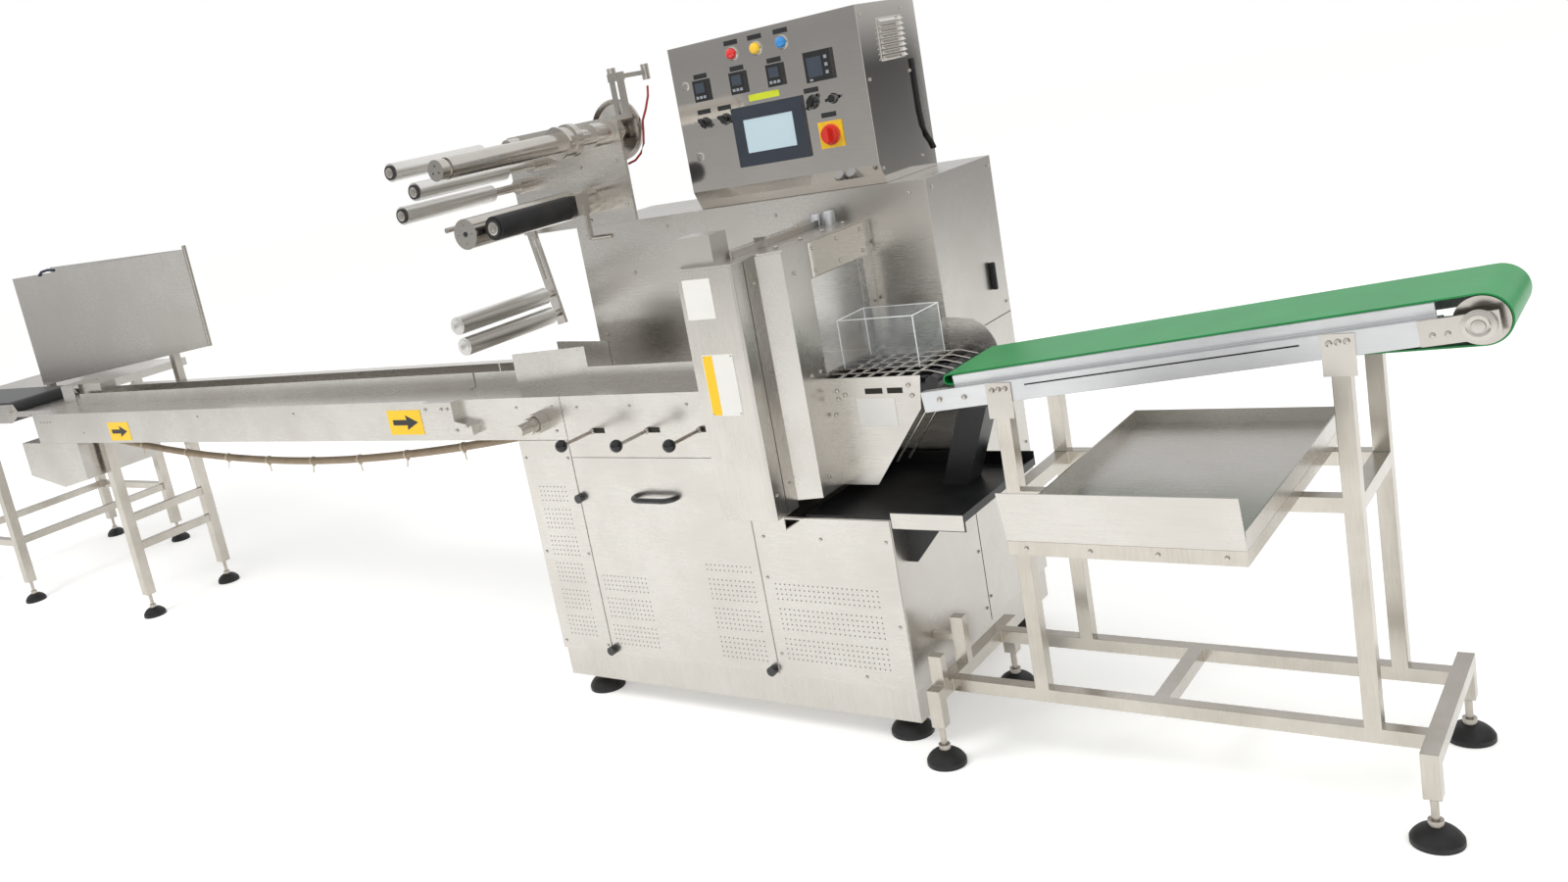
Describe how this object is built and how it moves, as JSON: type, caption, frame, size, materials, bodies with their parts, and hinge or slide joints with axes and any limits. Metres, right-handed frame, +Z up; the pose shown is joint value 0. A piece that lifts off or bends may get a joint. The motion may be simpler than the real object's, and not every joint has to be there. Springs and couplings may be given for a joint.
{
  "type": "horizontal flow wrapper line with infeed, sealing head, outfeed and feeder",
  "caption": "Stainless steel horizontal flow wrapper with film reel unit, long infeed, sealing head, green outfeed belt on its stand, catch tray and hopper feeder.",
  "frame": {"origin": "On the floor, at the middle of the plant in plan.", "axes": "+X with the product from the infeed to the outfeed, +Y away from the operator, +Z up."},
  "size_m": [6.1523, 1.2316, 1.675],
  "materials": {
    "stainless_sheet": "satin",
    "polished_stainless": "polished",
    "stainless_tube": "satin",
    "machined_steel": "gloss",
    "drawn_aluminium": "satin",
    "black_rubber": "matte",
    "green_belt": "satin",
    "black_plastic": "matte",
    "red_plastic": "gloss",
    "lever_plastic": "gloss",
    "clear_acrylic": "polished",
    "black_painted_sheet": "satin",
    "hose_plastic": "matte",
    "drum_steel": "satin"
  },
  "bodies": {
    "machine": {"base_plinth": "stainless_sheet", "brake_bracket": "machined_steel", "cabinet_body": "stainless_sheet", "cable_hose": "hose_plastic", "catch_plate": "black_painted_sheet", "catch_tray": "stainless_sheet", "clear_covers": "clear_acrylic", "console_box": "polished_stainless", "console_controls": "black_plastic", "console_meters": "black_plastic", "deck_plate": "stainless_sheet", "discharge_belts": "black_rubber", "discharge_frame": "stainless_sheet", "door_hardware": "black_plastic", "drive_box": "stainless_sheet", "feeder_belt": "black_rubber", "feeder_frame": "stainless_tube", "feeder_table": "stainless_sheet", "film_plate": "machined_steel", "front_sheets": "stainless_sheet", "head_box": "stainless_sheet", "head_column": "stainless_sheet", "head_lid": "stainless_sheet", "hopper_back_wall": "stainless_sheet", "hopper_front_plate": "stainless_sheet", "hopper_posts": "stainless_tube", "infeed_bed": "stainless_sheet", "infeed_legs": "stainless_tube", "infeed_sensor_box": "stainless_sheet", "levelling_feet": "black_rubber", "loading_bridge": "stainless_sheet", "outfeed_belt": "green_belt", "outfeed_frame": "drawn_aluminium", "outfeed_stand": "stainless_tube", "pinch_bracket": "machined_steel", "plate_mounts": "machined_steel", "product_guides": "stainless_sheet", "rail_plates": "machined_steel", "rear_housing": "stainless_sheet", "screen_bezel": "black_plastic", "tray_frame": "stainless_sheet"},
    "reel": {"reel_shaft": "machined_steel", "reel_chuck": "machined_steel", "brake_disc": "machined_steel"},
    "guide_high": {"guide_roller_high": "drawn_aluminium"},
    "guide_middle": {"guide_roller_middle": "drawn_aluminium"},
    "guide_low": {"guide_roller_low": "drawn_aluminium"},
    "feed": {"feed_roller": "machined_steel"},
    "pinch": {"pinch_roller": "black_rubber"},
    "dancer": {"dancer_arm": "machined_steel"},
    "dancer_upper": {"dancer_roller_upper": "drawn_aluminium"},
    "dancer_lower": {"dancer_roller_lower": "drawn_aluminium"},
    "lever_one": {"hand_lever_1": "lever_plastic"},
    "lever_two": {"hand_lever_2": "lever_plastic"},
    "lever_three": {"hand_lever_3": "lever_plastic"},
    "crank": {"crank_hub": "machined_steel"},
    "drum": {"outfeed_drum": "drum_steel"},
    "switch": {"main_switch": "red_plastic"}
  },
  "joints": [
    {"name": "reel_turn", "type": "hinge", "parent": "machine", "child": "reel", "pos_m": [0.9988, 0.14925, 1.5], "axis": [0, 1, 0], "continuous": true},
    {"name": "guide_high_turn", "type": "hinge", "parent": "machine", "child": "guide_high", "pos_m": [0.6738, -0.01575, 1.515], "axis": [0, 1, 0], "continuous": true},
    {"name": "guide_middle_turn", "type": "hinge", "parent": "machine", "child": "guide_middle", "pos_m": [0.7468, -0.01575, 1.455], "axis": [0, 1, 0], "continuous": true},
    {"name": "guide_low_turn", "type": "hinge", "parent": "machine", "child": "guide_low", "pos_m": [0.6808, -0.01575, 1.4], "axis": [0, 1, 0], "continuous": true},
    {"name": "feed_turn", "type": "hinge", "parent": "machine", "child": "feed", "pos_m": [0.8688, 0.14925, 1.325], "axis": [0, 1, 0], "continuous": true},
    {"name": "pinch_turn", "type": "hinge", "parent": "machine", "child": "pinch", "pos_m": [0.9468, -0.01575, 1.327], "axis": [0, 1, 0], "continuous": true},
    {"name": "dancer_swing", "type": "hinge", "parent": "machine", "child": "dancer", "pos_m": [0.6738, 0.11225, 1.29], "axis": [0, 1, 0], "range_deg": [-35, 25]},
    {"name": "dancer_upper_turn", "type": "hinge", "parent": "dancer", "child": "dancer_upper", "pos_m": [0.71005, 0.11225, 1.08011], "axis": [0, 1, 0], "continuous": true},
    {"name": "dancer_lower_turn", "type": "hinge", "parent": "dancer", "child": "dancer_lower", "pos_m": [0.7201, 0.11225, 1.02197], "axis": [0, 1, 0], "continuous": true},
    {"name": "lever_one_swing", "type": "hinge", "parent": "machine", "child": "lever_one", "pos_m": [1.1028, -0.27355, 0.775], "axis": [0, 0, 1], "range_deg": [-12, 12]},
    {"name": "lever_two_swing", "type": "hinge", "parent": "machine", "child": "lever_two", "pos_m": [1.2818, -0.27355, 0.775], "axis": [0, 0, 1], "range_deg": [-12, 12]},
    {"name": "lever_three_swing", "type": "hinge", "parent": "machine", "child": "lever_three", "pos_m": [1.4428, -0.27355, 0.775], "axis": [0, 0, 1], "range_deg": [-12, 12]},
    {"name": "crank_turn", "type": "hinge", "parent": "machine", "child": "crank", "pos_m": [0.9278, -0.26575, 0.803], "axis": [0, 1, 0], "continuous": true},
    {"name": "drum_turn", "type": "hinge", "parent": "machine", "child": "drum", "pos_m": [3.03121, -0.10325, 0.93244], "axis": [0, 1, 0], "continuous": true},
    {"name": "switch_turn", "type": "hinge", "parent": "machine", "child": "switch", "pos_m": [1.6868, 0.14525, 1.391], "axis": [0, 1, 0], "range_deg": [0, 90]}
  ]
}
